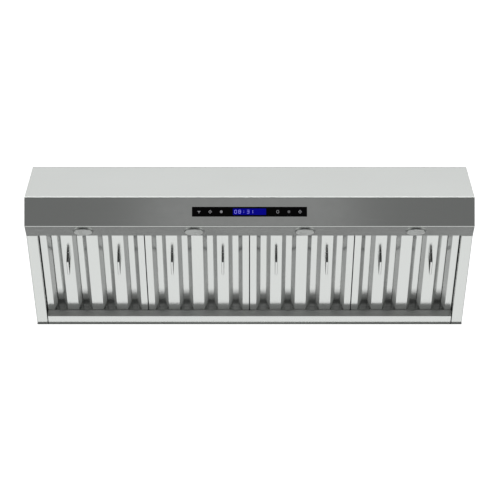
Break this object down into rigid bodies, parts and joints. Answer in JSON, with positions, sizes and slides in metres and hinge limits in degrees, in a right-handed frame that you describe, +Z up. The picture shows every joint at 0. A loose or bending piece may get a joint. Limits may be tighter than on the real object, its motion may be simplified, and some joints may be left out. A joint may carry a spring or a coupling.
{
  "type": "under cabinet range hood",
  "caption": "Wide stainless under cabinet range hood with baffle filters on bow handles, puck lamps, a glass touch panel, blowers and round duct collars.",
  "frame": {"origin": "centre of the four cabinet screw holes on the top panel's outer face", "axes": "+X across the hood to the right as seen from the front, +Y to the wall, +Z up"},
  "size_m": [1.213, 0.6153, 0.3469],
  "materials": {
    "stainless": "fine horizontal brush",
    "filter_steel": "bright rolled sheet",
    "handle_steel": "polished",
    "spring_steel": "plain",
    "galvanised": "zinc spangle",
    "plain_steel": "zinc plated",
    "lamp_metal": "satin",
    "lamp_diffuser": "translucent",
    "black_glass": "gloss",
    "display_blue": "backlit",
    "circuit_board": "solder mask",
    "capacitor_can": "drawn can",
    "white_nylon": "moulded",
    "black_nylon": "moulded",
    "wire_sleeve": "woven sleeve",
    "motor_paint": "semi gloss"
  },
  "bodies": {
    "hood": {"front_fascia": "stainless", "top_panel": "stainless", "back_panel": "stainless", "right_side_panel": "stainless", "left_side_panel": "stainless", "rear_filter_rail": "stainless", "filter_spring_clips": "spring_steel", "touch_glass": "black_glass", "display_module": "display_blue", "touch_board": "circuit_board", "control_box": "galvanised", "control_box_lid": "galvanised", "power_board": "circuit_board", "run_capacitors": "capacitor_can", "terminal_block": "white_nylon", "cable_bushing": "black_nylon", "wiring_harness": "wire_sleeve", "damper_rods": "plain_steel", "case_screws": "plain_steel", "lamp_housing_1": "lamp_metal", "lamp_lens_1": "lamp_diffuser", "lamp_housing_2": "lamp_metal", "lamp_lens_2": "lamp_diffuser", "lamp_housing_3": "lamp_metal", "lamp_lens_3": "lamp_diffuser", "lamp_housing_4": "lamp_metal", "lamp_lens_4": "lamp_diffuser", "left_blower_scroll": "galvanised", "left_blower_plates": "galvanised", "left_motor": "motor_paint", "left_motor_bracket": "galvanised", "left_duct_collar": "galvanised", "right_blower_scroll": "galvanised", "right_blower_plates": "galvanised", "right_motor": "motor_paint", "right_motor_bracket": "galvanised", "right_duct_collar": "galvanised"},
    "filter_1": {"filter_frame_1": "filter_steel", "filter_baffles_1": "filter_steel", "filter_handles_1": "handle_steel"},
    "filter_2": {"filter_frame_2": "filter_steel", "filter_baffles_2": "filter_steel", "filter_handles_2": "handle_steel"},
    "filter_3": {"filter_frame_3": "filter_steel", "filter_baffles_3": "filter_steel", "filter_handles_3": "handle_steel"},
    "filter_4": {"filter_frame_4": "filter_steel", "filter_baffles_4": "filter_steel", "filter_handles_4": "handle_steel"},
    "left_blower_wheel": {"left_impeller": "galvanised", "left_impeller_disc": "galvanised", "left_motor_shaft": "plain_steel"},
    "left_front_flap": {"left_front_damper_flap": "galvanised"},
    "left_rear_flap": {"left_rear_damper_flap": "galvanised"},
    "right_blower_wheel": {"right_impeller": "galvanised", "right_impeller_disc": "galvanised", "right_motor_shaft": "plain_steel"},
    "right_front_flap": {"right_front_damper_flap": "galvanised"},
    "right_rear_flap": {"right_rear_damper_flap": "galvanised"}
  },
  "joints": [
    {"name": "filter_1_swing", "type": "hinge", "parent": "hood", "child": "filter_1", "pos_m": [-0.4311, 0.1256, -0.2716], "axis": [1, 0, 0], "range_deg": [0, 40]},
    {"name": "filter_2_swing", "type": "hinge", "parent": "hood", "child": "filter_2", "pos_m": [-0.1437, 0.1256, -0.2716], "axis": [1, 0, 0], "range_deg": [0, 40]},
    {"name": "filter_3_swing", "type": "hinge", "parent": "hood", "child": "filter_3", "pos_m": [0.1437, 0.1256, -0.2716], "axis": [1, 0, 0], "range_deg": [0, 40]},
    {"name": "filter_4_swing", "type": "hinge", "parent": "hood", "child": "filter_4", "pos_m": [0.4311, 0.1256, -0.2716], "axis": [1, 0, 0], "range_deg": [0, 40]},
    {"name": "left_blower_spin", "type": "hinge", "parent": "hood", "child": "left_blower_wheel", "pos_m": [-0.26, -0.061, -0.14], "axis": [1, 0, 0], "continuous": true},
    {"name": "left_front_flap_swing", "type": "hinge", "parent": "hood", "child": "left_front_flap", "pos_m": [-0.26, -0.006, 0.014], "axis": [-1, 0, 0], "range_deg": [0, 75]},
    {"name": "left_rear_flap_swing", "type": "hinge", "parent": "hood", "child": "left_rear_flap", "pos_m": [-0.26, 0.006, 0.014], "axis": [1, 0, 0], "range_deg": [0, 75]},
    {"name": "right_blower_spin", "type": "hinge", "parent": "hood", "child": "right_blower_wheel", "pos_m": [0.26, -0.061, -0.14], "axis": [1, 0, 0], "continuous": true},
    {"name": "right_front_flap_swing", "type": "hinge", "parent": "hood", "child": "right_front_flap", "pos_m": [0.26, -0.006, 0.014], "axis": [-1, 0, 0], "range_deg": [0, 75]},
    {"name": "right_rear_flap_swing", "type": "hinge", "parent": "hood", "child": "right_rear_flap", "pos_m": [0.26, 0.006, 0.014], "axis": [1, 0, 0], "range_deg": [0, 75]}
  ]
}
